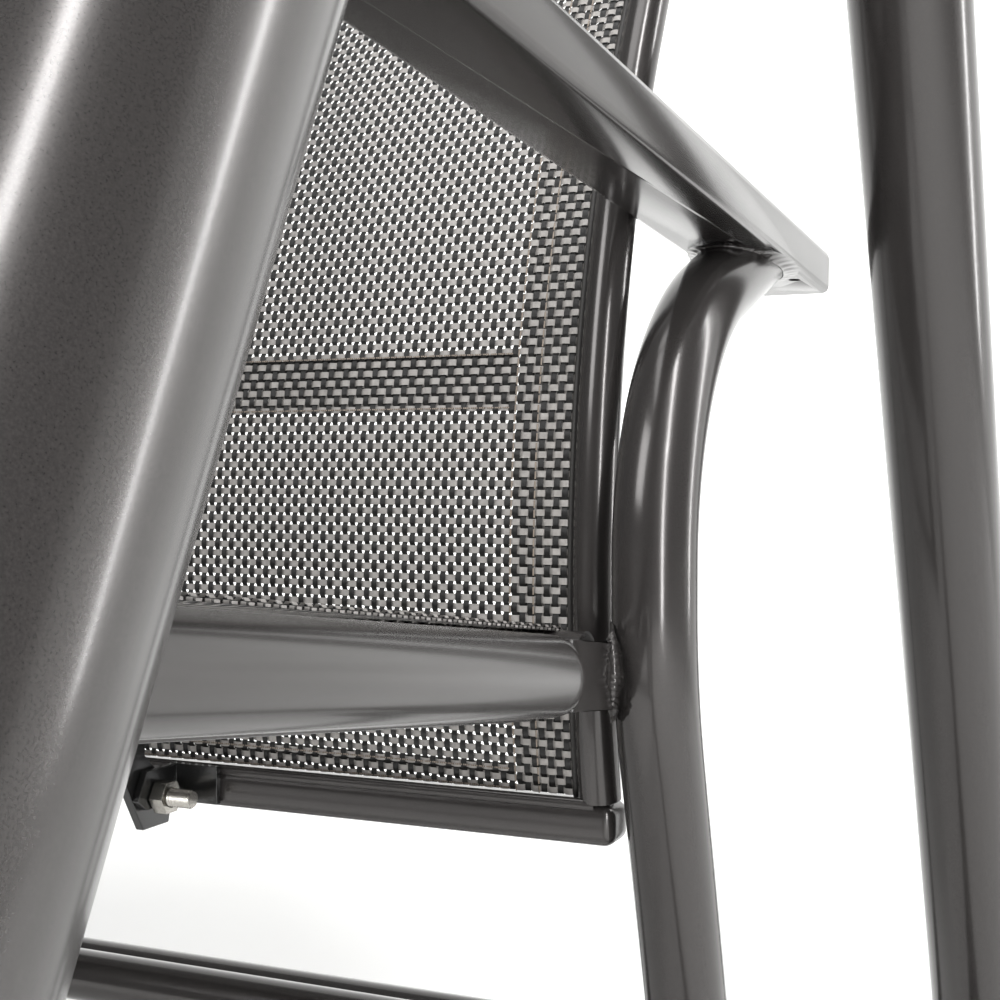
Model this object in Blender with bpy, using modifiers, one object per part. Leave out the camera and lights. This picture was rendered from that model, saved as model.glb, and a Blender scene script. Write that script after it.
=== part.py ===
"""Two-seat garden porch swing: a swinging sling bench on a free-standing tubular stand.

Metres, +Z up, X across the width, -Y to the front. The origin is on the ground below the
pivot line, at the centre of the stand.
"""

from math import cos, radians, sin, tan

import bmesh
import bpy
from mathutils import Matrix, Vector

# ---- driving dimensions (metres, degrees) ------------------------------------------------
GAP = 0.0003                 # clearance between pieces that touch
SIDE_PLANE = 0.620           # middle of each side frame from the centre of the bench
STAND_CLEARANCE = 0.033      # side frame's tube to the stand's leg
PIVOT_HEIGHT = 1.420
STAND_HALF_DEPTH = 0.557     # foot to the pivot's plane

LEG_RADIUS = 0.025
LEG_LEAN = 26.5              # lower part of a leg, from upright
LEG_BEND_HEIGHT = 0.820
LEG_TOP_SPREAD = 0.036       # half the distance between a pair's upper ends
BEAM_RADIUS = 0.025
LEG_FOOT_HEIGHT = 0.016       # lower end of the leg tube, inside its cap
LEG_NECK = 0.12               # straight run below the beam
LEG_BEND_RADIUS = 0.25
BRACE_RADIUS = 0.016
BRACE_HEIGHT = 0.130
FOOT_RADIUS = 0.034
FOOT_LENGTH = 0.072
FOOT_SOLE = 0.037            # cap beyond the leg's end, before it is cut level
FITTING_HEIGHT = 0.050
FITTING_WALL = 0.006         # fitting beyond the legs it caps

POST_KNEE_RUN = 0.045         # straight run between the post's two bends
POST_TIP = 0.13               # run past the upper bend, trimmed by the armrest
POST_LOWER_BEND = 0.20
FRONT_BOW_ENDS = 0.020        # the front post's ends stand this far ahead of its place
FRONT_BOW_MIDDLE = 0.015
FRONT_BOW_HEIGHT = 0.45
FRONT_BOW_RADIUS = 0.30
FRONT_POST_FACE = 0.014       # from the front post's place to its rear face
LOWER_TUBE_RISE = 0.004
POST_RADIUS = 0.016
POST_FRONT = 0.119           # rear post's upright part, behind the pivot
POST_BEND = 0.115            # rear post's bend under the armrest
POST_BEND_ANGLE = 70.0
POST_KNEE_HEIGHT = 0.4636    # where the upper bend starts
POST_SWEEP = 17.0            # rear post's lower part, back from upright
LOWER_TUBE_HEIGHT = 0.236
LOWER_TUBE_RADIUS = 0.012
FRONT_POST_PLACE = -0.260

ARM_WIDTH = 0.040
ARM_THICKNESS = 0.020
ARM_REAR = 0.323
ARM_FRONT = -0.300
ARM_REAR_HEIGHT = 0.5823     # underside at the rear end
ARM_SLOPE = 4.5              # down to the back
DRAIN_HOLE = 0.0028          # radius

STRETCHER_RADIUS = 0.0135
STRETCHER_SLOPE = 7.3
STRETCHER_INSET = 0.008      # stretcher inside the posts' plane
STRETCHER_PRESS = 0.5        # thickness of its pressed ends, as a share of the diameter
STRETCHER_PRESS_LENGTH = 0.030
STRETCHER_BITE = 0.006       # stretcher's uncut end from the post's middle
STRETCHER_REAR_HEIGHT = 0.421

RAIL_RADIUS = 0.0085
TAB_HEIGHT = 0.012
RAIL_STANDOFF = 0.0055       # side rail to the post's inner side
BAR_RADIUS = 0.011           # seat's front and rear bars
TOP_BAR_RADIUS = 0.0125
BACK_ARC = 0.500             # side view of the back
BACK_FRONT = 0.1355          # most forward point of the back sling
BACK_WAIST = 0.450           # its height
BACK_LEAN = 27.0             # upper part of the back, from upright
BACK_TOP = 0.945
END_BAR_HEIGHT = 0.0165
END_BAR_DEPTH = 0.020
END_BAR_TOP = 0.368
SEAT_REAR = 0.105
SEAT_FRONT = -0.318
SEAT_RISE = 0.005            # seat above the stretcher's middle
SLING_THICKNESS = 0.0016

HANGER_RADIUS = 0.0095
HANGER_FRONT = -0.205
HANGER_REAR = -0.035
FRONT_HANGER_STOP = 0.150     # front bar's upper end below the pivot, beside the rear bar
EYE_RADIUS = 0.017
EYE_LENGTH = 0.040
BUSH_RADIUS = 0.0085
BUSH_FLANGE = 0.014
BOLT_RADIUS = 0.006
CHEEK_WALL = 0.004
CHEEK_GAP = 0.003            # bush flange between the eye and a bracket's cheek

SUPPORT_PLACE = 0.392        # back supports from the centre
SUPPORT_WALL = 0.004
BRACKET_WALL = 0.003
NUT_RADIUS = 0.0075
NUT_DEPTH = 0.0065
HEAD_DEPTH = 0.005
STUD_LENGTH = 0.018
CLAMP_SETBACK = 0.016         # from the end bar's face to the clamp bolt
SUPPORT_HALF = 0.008          # half depth of the support's upper part
SUPPORT_NOSE = 0.014
FOLD_LENGTH = 0.021
FOLD_WALL = 0.003
TRIM = 0.002
END_BAR_ROUND = 0.005
CLAMP_BOLT_RADIUS = 0.004

LEG_PLANE = SIDE_PLANE + POST_RADIUS + STAND_CLEARANCE + LEG_RADIUS
ARM_TAN = tan(radians(ARM_SLOPE))
SEAT_TAN = tan(radians(STRETCHER_SLOPE))
RAIL_PLACE = SIDE_PLANE - POST_RADIUS - RAIL_STANDOFF - RAIL_RADIUS
SLING_HALF = RAIL_PLACE - RAIL_RADIUS - GAP
BEAM_DROP = 0.046            # pivot below the beam's middle
BEAM_HEIGHT = PIVOT_HEIGHT + BEAM_DROP
SIDES = {"right": 1, "left": -1}
ACROSS = (0.0, radians(90), 0.0)
PROFILE_TURN = (radians(90), 0.0, radians(90))   # local x, y, z to world Y, Z, X


# ---- scene, materials and small helpers --------------------------------------------------
def clear_scene():
    """Remove every object, so that the script starts from an empty scene."""
    for obj in list(bpy.data.objects):
        bpy.data.objects.remove(obj, do_unlink=True)


def make_collection(name):
    """Return a new collection linked to the scene."""
    made = bpy.data.collections.new(name)
    bpy.context.scene.collection.children.link(made)
    return made


def make_material(name, colour, roughness, metallic):
    """Return a Principled BSDF material."""
    made = bpy.data.materials.new(name)
    made.use_nodes = True
    shader = made.node_tree.nodes["Principled BSDF"]
    shader.inputs["Base Color"].default_value = (*colour, 1.0)
    shader.inputs["Roughness"].default_value = roughness
    shader.inputs["Metallic"].default_value = metallic
    return made


clear_scene()
SWING = make_collection("porch_swing")
CUTTERS = make_collection("cutters")
POWDER_COAT = make_material("anthracite powder coat", (0.060, 0.055, 0.051), 0.34, 0.6)
BLACK_COAT = make_material("black powder coat", (0.012, 0.012, 0.012), 0.25, 0.2)
ZINC = make_material("zinc plated steel", (0.62, 0.62, 0.60), 0.3, 1.0)
PLASTIC = make_material("black plastic", (0.015, 0.015, 0.015), 0.5, 0.0)
MESH_CLOTH = make_material("coated mesh sling", (0.17, 0.16, 0.155), 0.6, 0.0)


def add(name, data, material=None, collection=None):
    """Make a named object from mesh or curve data."""
    obj = bpy.data.objects.new(name, data)
    (collection or SWING).objects.link(obj)
    if material and not data.materials:
        data.materials.append(material)
    return obj


def smooth(obj):
    """Shade a round piece smooth, with its sharp edges kept."""
    obj.data.shade_smooth()
    obj.data.set_sharp_from_angle(angle=radians(40))


def cylinder(name, material, radius, length, place, turn=(0, 0, 0), sides=20, collection=None):
    """A capped cylinder along its own Z, turned and placed by its middle."""
    shape = bmesh.new()
    bmesh.ops.create_cone(shape, cap_ends=True, segments=sides, radius1=radius,
                          radius2=radius, depth=length)
    mesh = bpy.data.meshes.new(name)
    shape.to_mesh(mesh)
    shape.free()
    obj = add(name, mesh, material, collection)
    obj.location, obj.rotation_euler = place, turn
    smooth(obj)
    return obj


def block(name, material, size, place, turn=(0, 0, 0), round_edge=0.0, collection=None):
    """A box of a given size, with bevelled edges if round_edge is set."""
    shape = bmesh.new()
    bmesh.ops.create_cube(shape, size=1.0, matrix=Matrix.Diagonal((*size, 1.0)))
    mesh = bpy.data.meshes.new(name)
    shape.to_mesh(mesh)
    shape.free()
    obj = add(name, mesh, material, collection)
    obj.location, obj.rotation_euler = place, turn
    if round_edge:
        bevel = obj.modifiers.new("Round edges", "BEVEL")
        bevel.width, bevel.segments = round_edge, 2
    return obj


def bent_line(corners, radii, step=9.0):
    """Corner points joined by straight runs, each inner corner rounded by its own radius."""
    line = [Vector(corners[0])]
    for before, corner, after, radius in zip(corners, corners[1:], corners[2:], radii):
        corner = Vector(corner)
        back = (Vector(before) - corner).normalized()
        ahead = (Vector(after) - corner).normalized()
        half = back.angle(ahead) / 2
        middle = corner + (back + ahead).normalized() * radius / sin(half)
        start = corner + back * radius / tan(half) - middle
        axis = start.cross(corner - middle).normalized()
        turn = radians(180) - 2 * half
        count = max(2, round(turn / radians(step)))
        line += [middle + Matrix.Rotation(turn * i / count, 3, axis) @ start
                 for i in range(count + 1)]
    return line + [Vector(corners[-1])]


def tube(name, points, radius, material=POWDER_COAT, resolution=4, collection=None):
    """A round tube along a line of points, with filled ends."""
    data = bpy.data.curves.new(name, "CURVE")
    data.dimensions = "3D"
    data.bevel_depth, data.bevel_resolution, data.use_fill_caps = radius, resolution, True
    spline = data.splines.new("POLY")
    spline.points.add(len(points) - 1)
    for point, place in zip(spline.points, points):
        point.co = (*place, 1.0)
        point.radius = 1.0
    return add(name, data, material, collection)


def as_mesh(obj):
    """Turn a curve object into a mesh object with welded caps, under the same name."""
    depsgraph = bpy.context.evaluated_depsgraph_get()
    mesh = bpy.data.meshes.new_from_object(obj.evaluated_get(depsgraph))
    shape = bmesh.new()
    shape.from_mesh(mesh)
    bmesh.ops.remove_doubles(shape, verts=shape.verts, dist=0.00001)
    bmesh.ops.recalc_face_normals(shape, faces=shape.faces)
    shape.to_mesh(mesh)
    shape.free()
    mesh.materials.clear()
    for material in obj.data.materials:
        mesh.materials.append(material)
    name, place, collection = obj.name, obj.matrix_world.copy(), obj.users_collection[0]
    bpy.data.objects.remove(obj)
    made = bpy.data.objects.new(name, mesh)
    made.matrix_world = place
    collection.objects.link(made)
    smooth(made)
    return made


def combine(obj, tool, operation="DIFFERENCE"):
    """Cut a tool from a piece, or join it on."""
    change = obj.modifiers.new(operation.title(), "BOOLEAN")
    change.object, change.operation = tool, operation
    tool.hide_render, tool.display_type = True, "WIRE"
    return obj


def side_profile(name, outline, thickness, middle, material, collection=None):
    """A flat outline in the side view (Y, Z), as thick as given across X."""
    data = bpy.data.curves.new(name, "CURVE")
    data.dimensions, data.fill_mode, data.extrude = "2D", "BOTH", thickness / 2
    spline = data.splines.new("POLY")
    spline.points.add(len(outline) - 1)
    for point, (y, z) in zip(spline.points, outline):
        point.co = (y, z, 0.0, 1.0)
    spline.use_cyclic_u = True
    obj = add(name, data, material, collection)
    obj.location, obj.rotation_euler = (middle, 0, 0), PROFILE_TURN
    bpy.context.view_layer.update()
    return as_mesh(obj)


def sling(name, line, material):
    """A taut sheet through a line in the side view (Y, Z), between the two side rails."""
    data = bpy.data.curves.new(name, "CURVE")
    data.dimensions, data.fill_mode, data.extrude = "2D", "NONE", SLING_HALF
    spline = data.splines.new("POLY")
    spline.points.add(len(line) - 1)
    for point, place in zip(spline.points, line):
        point.co = (place[1], place[2], 0.0, 1.0)
    obj = add(name, data, material)
    obj.rotation_euler = PROFILE_TURN
    bpy.context.view_layer.update()
    made = as_mesh(obj)
    shell = made.modifiers.new("Cloth", "SOLIDIFY")
    shell.thickness, shell.offset = SLING_THICKNESS, 0.0
    return made


# ---- side view of the bench --------------------------------------------------------------
def arm_underside(y):
    """Height of the armrest's underside at a place along Y."""
    return ARM_REAR_HEIGHT + (ARM_REAR - y) * ARM_TAN


def stretcher_height(y):
    """Height of the stretcher's middle at a place along Y."""
    return STRETCHER_REAR_HEIGHT + (POST_FRONT - y) * SEAT_TAN


def seat_height(y):
    """Height of the seat sling at a place along Y."""
    return stretcher_height(y) + SEAT_RISE


def back_line(x, low, high, steps=9):
    """The back's side view at X: an arc that passes into a straight upper part."""
    arc_top = BACK_WAIST + BACK_ARC * sin(radians(BACK_LEAN))
    line = []
    for i in range(steps):
        z = low + (min(arc_top, high) - low) * i / (steps - 1)
        lean = (z - BACK_WAIST) / BACK_ARC
        line.append((x, BACK_FRONT + BACK_ARC * (1 - (1 - lean ** 2) ** 0.5), z))
    if high > arc_top:
        line.append((x, line[-1][1] + (high - arc_top) * tan(radians(BACK_LEAN)), high))
    return line


BACK_TOP_PLACE = back_line(0, END_BAR_TOP, BACK_TOP)[-1][1]


# ---- stand -------------------------------------------------------------------------------
def build_leg(side, end):
    """One bent leg; end is -1 for the front and 1 for the rear."""
    x = SIDES[side] * LEG_PLANE
    top = BEAM_HEIGHT - FITTING_HEIGHT / 2
    foot = (x, end * STAND_HALF_DEPTH, LEG_FOOT_HEIGHT)
    reach = (LEG_BEND_HEIGHT - foot[2]) * tan(radians(LEG_LEAN))
    knee = (x, end * (STAND_HALF_DEPTH - reach), LEG_BEND_HEIGHT)
    neck = (x, end * LEG_TOP_SPREAD, top - LEG_NECK)
    crown = (x, end * LEG_TOP_SPREAD, top - GAP)
    name = "front" if end < 0 else "rear"
    line = bent_line([foot, knee, neck, crown], [LEG_BEND_RADIUS, LEG_BEND_RADIUS])
    tube(f"stand_leg_{name}_{side}", line, LEG_RADIUS)
    build_foot(f"foot_cap_{name}_{side}", Vector(foot), Vector(knee))


def build_foot(name, foot, knee):
    """A plastic cup over a leg's lower end, cut level with the ground."""
    along = (knee - foot).normalized()
    turn = along.to_track_quat("Z", "Y").to_euler()
    cup = cylinder(name, PLASTIC, FOOT_RADIUS, FOOT_LENGTH,
                   foot + along * (FOOT_LENGTH / 2 - FOOT_SOLE), turn, 16)
    socket = cylinder(f"{name}_socket", None, LEG_RADIUS + GAP, 0.2,
                      foot + along * (0.1 - GAP), turn, 24, CUTTERS)
    ground = block(f"{name}_ground", None, (0.2, 0.2, 0.1), (foot.x, foot.y, -0.05),
                   collection=CUTTERS)
    combine(combine(cup, socket), ground)


def build_stand():
    """Legs, beam, corner fittings, braces and the brackets that carry the pivots."""
    reach = LEG_PLANE - LEG_RADIUS - FITTING_WALL - GAP
    tube("top_beam", [(-reach, 0, BEAM_HEIGHT), (reach, 0, BEAM_HEIGHT)], BEAM_RADIUS,
         resolution=6)
    brace_y = STAND_HALF_DEPTH - (BRACE_HEIGHT - LEG_FOOT_HEIGHT) * tan(radians(LEG_LEAN))
    inset = LEG_RADIUS / cos(radians(LEG_LEAN)) + GAP + BRACE_RADIUS * tan(radians(LEG_LEAN))
    for side, sign in SIDES.items():
        x = sign * LEG_PLANE
        for end in (-1, 1):
            build_leg(side, end)
        block(f"corner_fitting_{side}", POWDER_COAT,
              (2 * (LEG_RADIUS + FITTING_WALL), 2 * (LEG_TOP_SPREAD + LEG_RADIUS + FITTING_WALL),
               FITTING_HEIGHT), (x, 0, BEAM_HEIGHT), round_edge=0.006)
        tube(f"side_brace_{side}", [(x, -(brace_y - inset), BRACE_HEIGHT),
                                    (x, brace_y - inset, BRACE_HEIGHT)], BRACE_RADIUS)
        build_pivot(side, sign)
    rear = LEG_PLANE - LEG_RADIUS - GAP
    tube("rear_brace", [(-rear, brace_y, BRACE_HEIGHT), (rear, brace_y, BRACE_HEIGHT)],
         BRACE_RADIUS)


def build_pivot(side, sign):
    """A two-cheek bracket under the beam, with the pivot bolt and its nut."""
    x = sign * SIDE_PLANE
    inner = EYE_LENGTH / 2 + CHEEK_GAP
    outer = inner + CHEEK_WALL
    top = BEAM_HEIGHT - BEAM_RADIUS - GAP
    foot = PIVOT_HEIGHT - EYE_RADIUS
    bracket = block(f"pivot_bracket_{side}", POWDER_COAT, (2 * outer, 0.040, top - foot),
                    (x, 0, (top + foot) / 2), round_edge=0.002)
    slot_top = PIVOT_HEIGHT + EYE_RADIUS + 0.0015
    slot = block(f"pivot_slot_{side}", None, (2 * inner, 0.1, slot_top - foot + 0.05),
                 (x, 0, (slot_top + foot - 0.05) / 2), collection=CUTTERS)
    bore = cylinder(f"pivot_bore_{side}", None, BOLT_RADIUS + GAP, 0.2,
                    (x, 0, PIVOT_HEIGHT), ACROSS, 20, CUTTERS)
    combine(combine(bracket, slot), bore)
    head = 0.008
    grip = 2 * (outer + GAP)
    shank = cylinder(f"pivot_bolt_{side}", ZINC, BOLT_RADIUS, grip + head + 0.017,
                     (x - sign * 0.0045, 0, PIVOT_HEIGHT), ACROSS)
    cap = cylinder(f"pivot_bolt_head_{side}", None, 0.011, head,
                   (x + sign * (outer + GAP + head / 2), 0, PIVOT_HEIGHT), ACROSS, 6, CUTTERS)
    combine(shank, cap, "UNION")
    nut = cylinder(f"pivot_nut_{side}", ZINC, 0.011, 0.010,
                   (x - sign * (outer + GAP + 0.005), 0, PIVOT_HEIGHT), ACROSS, 6)
    nut_bore = cylinder(f"pivot_nut_bore_{side}", None, BOLT_RADIUS + GAP, 0.05,
                        nut.location, ACROSS, 20, CUTTERS)
    combine(nut, nut_bore)


# ---- swinging bench ----------------------------------------------------------------------
def arm_cutter(name, x):
    """The space above an armrest's underside, which the tubes below it stop at."""
    height = 0.2
    middle = (ARM_REAR + ARM_FRONT) / 2
    slope = radians(-ARM_SLOPE)
    lift = height / 2 - GAP
    place = (x, middle + lift * sin(-slope), arm_underside(middle) + lift * cos(slope))
    return block(name, None, (0.2, 1.2, height), place, (slope, 0, 0), collection=CUTTERS)


def build_arm(side, x):
    """A rectangular tube with a drain hole in its underside near the rear end."""
    slope = radians(-ARM_SLOPE)
    length = (ARM_REAR - ARM_FRONT) / cos(slope)
    middle = (ARM_REAR + ARM_FRONT) / 2
    normal = Vector((0, sin(-slope), cos(slope)))
    foot = Vector((x, middle, arm_underside(middle)))
    arm = block(f"armrest_{side}", POWDER_COAT, (ARM_WIDTH, length, ARM_THICKNESS),
                foot + normal * ARM_THICKNESS / 2, (slope, 0, 0), 0.003)
    hole_y = ARM_REAR - 0.039
    hole = cylinder(f"drain_hole_{side}", None, DRAIN_HOLE, 0.012,
                    (x + SIDES[side] * 0.012, hole_y, arm_underside(hole_y)), (slope, 0, 0),
                    12, CUTTERS)
    combine(arm, hole)


def build_posts(side, x):
    """The curved rear post and the gently bowed front post, both cut to the armrest."""
    angle = radians(POST_BEND_ANGLE)
    drop = POST_KNEE_HEIGHT - POST_KNEE_RUN - LOWER_TUBE_HEIGHT
    foot_y = POST_FRONT + drop * tan(radians(POST_SWEEP))
    bend = [(x, POST_FRONT + POST_BEND * (1 - cos(angle * i / 8)),
             POST_KNEE_HEIGHT + POST_BEND * sin(angle * i / 8)) for i in range(9)]
    tip = Vector(bend[-1]) + Vector((0, sin(angle), cos(angle))) * POST_TIP
    knee = (x, POST_FRONT, POST_KNEE_HEIGHT - POST_KNEE_RUN)
    lower = bent_line([(x, foot_y, LOWER_TUBE_HEIGHT), knee, bend[0]], [POST_LOWER_BEND])
    cutter = arm_cutter(f"arm_cutter_{side}", x)
    rear = as_mesh(tube(f"rear_post_{side}", lower + bend[1:] + [tip], POST_RADIUS,
                        resolution=6))
    combine(rear, cutter)
    ends = FRONT_POST_PLACE - FRONT_BOW_ENDS
    middle = FRONT_POST_PLACE + FRONT_BOW_MIDDLE
    top = arm_underside(FRONT_POST_PLACE) + 2 * FRONT_BOW_MIDDLE
    line = bent_line([(x, ends, LOWER_TUBE_HEIGHT), (x, middle, FRONT_BOW_HEIGHT),
                      (x, ends, top)], [FRONT_BOW_RADIUS])
    front = as_mesh(tube(f"front_post_{side}", line, POST_RADIUS, resolution=6))
    combine(front, cutter)
    return line, lower + bend[1:] + [tip]


def build_stretcher(side, x, front_line, rear_line):
    """The seat-level tube between the posts, its ends shaped to the posts' round sides."""
    x -= SIDES[side] * STRETCHER_INSET
    first = FRONT_POST_PLACE + FRONT_POST_FACE + STRETCHER_BITE
    last = POST_FRONT - STRETCHER_BITE
    press = [STRETCHER_PRESS_LENGTH * i / 4 for i in range(5)]
    places = [first + step for step in press] + [last - step for step in reversed(press)]
    bar = as_mesh(tube(f"seat_stretcher_{side}", [(x, y, stretcher_height(y)) for y in places],
                       STRETCHER_RADIUS, resolution=6))
    for vert in bar.data.vertices:
        inward = min(vert.co.y - first, last - vert.co.y, STRETCHER_PRESS_LENGTH)
        rest = max(0.0, 1 - inward / STRETCHER_PRESS_LENGTH)
        squeeze = (1 - STRETCHER_PRESS) * rest * rest * (3 - 2 * rest)
        vert.co.x = x + (vert.co.x - x) * (1 - squeeze)
    for place, line in (("front", front_line), ("rear", rear_line)):
        cope = tube(f"{place}_cope_{side}", line, POST_RADIUS + GAP, None, 6, CUTTERS)
        combine(bar, as_mesh(cope))
    return first, last


def build_hangers(side, x):
    """Two bars in a V from the armrest; the rear one ends in the eye on the pivot bolt."""
    pivot = Vector((x, 0, PIVOT_HEIGHT))
    cutter = arm_cutter(f"arm_top_cutter_{side}", x)
    normal = Vector((0, sin(radians(ARM_SLOPE)), cos(radians(ARM_SLOPE))))
    cutter.location -= normal * (0.2 - ARM_THICKNESS - 2 * GAP)
    for end, y in (("front", HANGER_FRONT), ("rear", HANGER_REAR)):
        foot = Vector((x, y, arm_underside(y)))
        along = (pivot - foot).normalized()
        top = pivot - along * (EYE_RADIUS * 0.8 if end == "rear" else FRONT_HANGER_STOP)
        bar = as_mesh(tube(f"hanger_{end}_{side}", [foot, top], HANGER_RADIUS, resolution=4))
        combine(bar, cutter)
    eye = cylinder(f"hanger_eye_{side}", None, EYE_RADIUS, EYE_LENGTH, pivot, ACROSS, 24, CUTTERS)
    bore = cylinder(f"eye_bore_{side}", None, BUSH_RADIUS + GAP, 0.1, pivot, ACROSS, 24, CUTTERS)
    combine(combine(bar, eye, "UNION"), bore)
    for place, sign in (("outer", 1), ("inner", -1)):
        build_bush(f"pivot_bush_{place}_{side}", pivot, sign)


def build_bush(name, pivot, sign):
    """A flanged nylon bush pressed into one end of the eye."""
    depth = EYE_LENGTH / 2 - 2 * GAP
    flange = CHEEK_GAP - 2 * GAP
    bush = cylinder(name, PLASTIC, BUSH_RADIUS, depth + GAP + flange / 2,
                    pivot + Vector((sign * (GAP + (depth + GAP + flange / 2) / 2), 0, 0)),
                    ACROSS, 24)
    collar = cylinder(f"{name}_collar", None, BUSH_FLANGE, flange,
                      pivot + Vector((sign * (EYE_LENGTH / 2 + GAP + flange / 2), 0, 0)),
                      ACROSS, 24, CUTTERS)
    bore = cylinder(f"{name}_bore", None, BOLT_RADIUS + GAP, 0.1, pivot, ACROSS, 20, CUTTERS)
    combine(combine(bush, collar, "UNION"), bore)


def build_seat_frame(side, sign, front, rear):
    """A seat side rail and the tab that fixes it to the stretcher."""
    x = sign * RAIL_PLACE
    reach = BAR_RADIUS + GAP
    ends = (SEAT_FRONT + reach, SEAT_REAR - reach)
    tube(f"seat_rail_{side}", [(x, y, seat_height(y)) for y in ends], RAIL_RADIUS)
    inner = RAIL_PLACE - RAIL_RADIUS
    outer = SIDE_PLANE - STRETCHER_INSET - STRETCHER_RADIUS - GAP
    y = (front + rear) / 2
    top = seat_height(y) - RAIL_RADIUS - GAP
    block(f"seat_tab_{side}", POWDER_COAT, (outer - inner, 0.240, TAB_HEIGHT),
          (sign * (inner + outer) / 2, y, top - TAB_HEIGHT / 2 - GAP),
          (radians(-STRETCHER_SLOPE), 0, 0))


def build_back_frame(side, sign):
    """A back side rail and the tab that fixes it to the rear post."""
    x = sign * RAIL_PLACE
    top = BACK_TOP - TOP_BAR_RADIUS * cos(radians(BACK_LEAN)) - 0.006
    tube(f"back_rail_{side}", back_line(x, END_BAR_TOP + 0.0018, top), RAIL_RADIUS)
    inner = RAIL_PLACE + RAIL_RADIUS + GAP
    outer = SIDE_PLANE - POST_RADIUS - GAP
    block(f"back_tab_{side}", POWDER_COAT, (outer - inner, 0.012, 0.024),
          (sign * (inner + outer) / 2, (POST_FRONT + BACK_FRONT) / 2, stretcher_height(POST_FRONT)))


def build_support(side, sign):
    """An arm from the seat's rear bar to a folded bracket on the back's end bar."""
    x = sign * SUPPORT_PLACE
    bar_y = back_line(0, END_BAR_TOP - END_BAR_HEIGHT / 2, BACK_TOP)[0][1]
    face = bar_y - END_BAR_DEPTH / 2 - GAP
    low, high = END_BAR_TOP - END_BAR_HEIGHT, END_BAR_TOP + TRIM
    bolt_y, bolt_z = face - CLAMP_SETBACK, END_BAR_TOP - END_BAR_HEIGHT * 0.6
    upper = seat_height(SEAT_REAR) - BAR_RADIUS - GAP
    near, far = SEAT_REAR - SUPPORT_HALF, SEAT_REAR + SUPPORT_HALF
    under = bolt_z - SUPPORT_NOSE
    arm = [(near, upper), (near, high), (bolt_y - SUPPORT_NOSE, bolt_z),
           (bolt_y - SUPPORT_HALF + TRIM, under), (bolt_y + SUPPORT_NOSE - TRIM, under),
           (face - GAP, bolt_z), (far, high + SUPPORT_HALF - TRIM), (far, upper)]
    support = side_profile(f"back_support_{side}", arm, SUPPORT_WALL, x, BLACK_COAT)
    fin_x = x + sign * (SUPPORT_WALL / 2 + GAP + BRACKET_WALL / 2)
    nose = bolt_y - SUPPORT_HALF
    fin = [(face, low + TRIM), (face, high), (nose, high), (bolt_y - SUPPORT_NOSE, bolt_z),
           (nose, low + TRIM)]
    bracket = side_profile(f"back_bracket_{side}", fin, BRACKET_WALL, fin_x, BLACK_COAT)
    foot_x = fin_x + sign * FOLD_LENGTH / 2
    foot = block(f"bracket_foot_{side}", None,
                 (FOLD_LENGTH + BRACKET_WALL, FOLD_WALL, high - low - TRIM),
                 (foot_x, face - FOLD_WALL / 2, (high + low + TRIM) / 2), collection=CUTTERS)
    combine(bracket, foot, "UNION")
    hole = cylinder(f"clamp_bore_{side}", None, CLAMP_BOLT_RADIUS + GAP, 0.06,
                    (x, bolt_y, bolt_z), ACROSS, 16, CUTTERS)
    combine(support, hole)
    combine(bracket, hole)
    stack = SUPPORT_WALL / 2 + GAP
    reach = SUPPORT_WALL / 2 + 2 * GAP + BRACKET_WALL
    tail, sunk = reach + STUD_LENGTH, stack + TRIM
    bolt = cylinder(f"clamp_bolt_{side}", ZINC, CLAMP_BOLT_RADIUS, sunk + tail,
                    (x + sign * (tail - sunk) / 2, bolt_y, bolt_z), ACROSS, 16)
    head = cylinder(f"clamp_head_{side}", None, NUT_RADIUS, HEAD_DEPTH,
                    (x - sign * (stack + HEAD_DEPTH / 2), bolt_y, bolt_z), ACROSS, 6, CUTTERS)
    combine(bolt, head, "UNION")
    nut = cylinder(f"clamp_nut_{side}", ZINC, NUT_RADIUS, NUT_DEPTH,
                   (x + sign * (reach + GAP + NUT_DEPTH / 2), bolt_y, bolt_z), ACROSS, 6)
    combine(nut, hole)


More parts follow.
